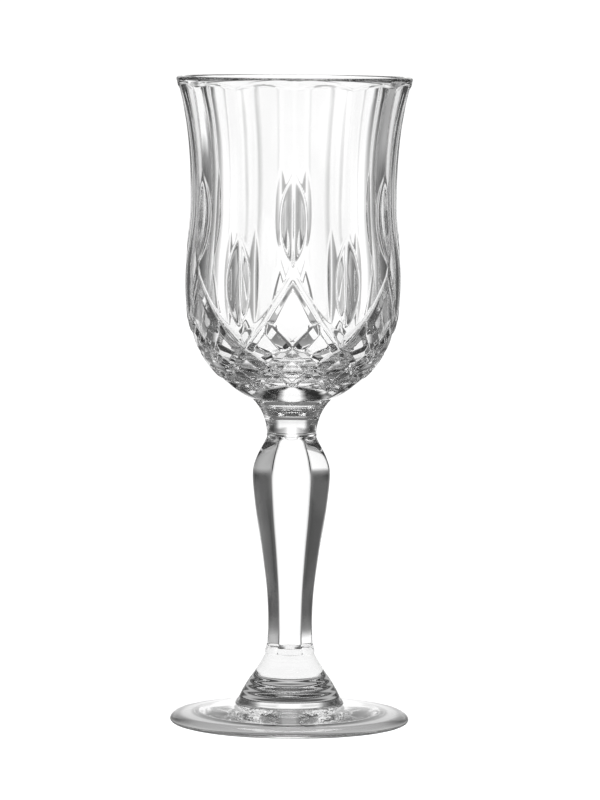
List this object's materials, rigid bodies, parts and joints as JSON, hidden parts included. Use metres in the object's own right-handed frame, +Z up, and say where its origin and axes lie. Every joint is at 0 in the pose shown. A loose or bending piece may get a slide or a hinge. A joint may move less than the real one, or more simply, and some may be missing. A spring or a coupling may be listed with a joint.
{
  "type": "cordial glass",
  "caption": "Small stemmed drinking glass: tall fluted and mitre-cut cup on a faceted, tapered stem with a flared collar and a thin round foot.",
  "frame": {"origin": "middle of the foot's underside, on the plane that the glass stands on", "axes": "+Z up along the stem to the lip; -Y is the front, where a flat side of the stem and an upper olive cut face"},
  "size_m": [0.0506, 0.0506, 0.137],
  "materials": {
    "bowl_glass": "clear, fire-polished",
    "neck_glass": "clear, with fine tooling rings",
    "stem_glass": "clear, polished facets",
    "collar_glass": "clear, with soft tooling waves",
    "foot_glass": "clear, finely ground on the ring that it stands on"
  },
  "bodies": {
    "root": {"foot": "foot_glass", "foot_collar": "collar_glass", "stem": "stem_glass", "neck_collar": "neck_glass", "bowl": "bowl_glass"}
  },
  "joints": []
}
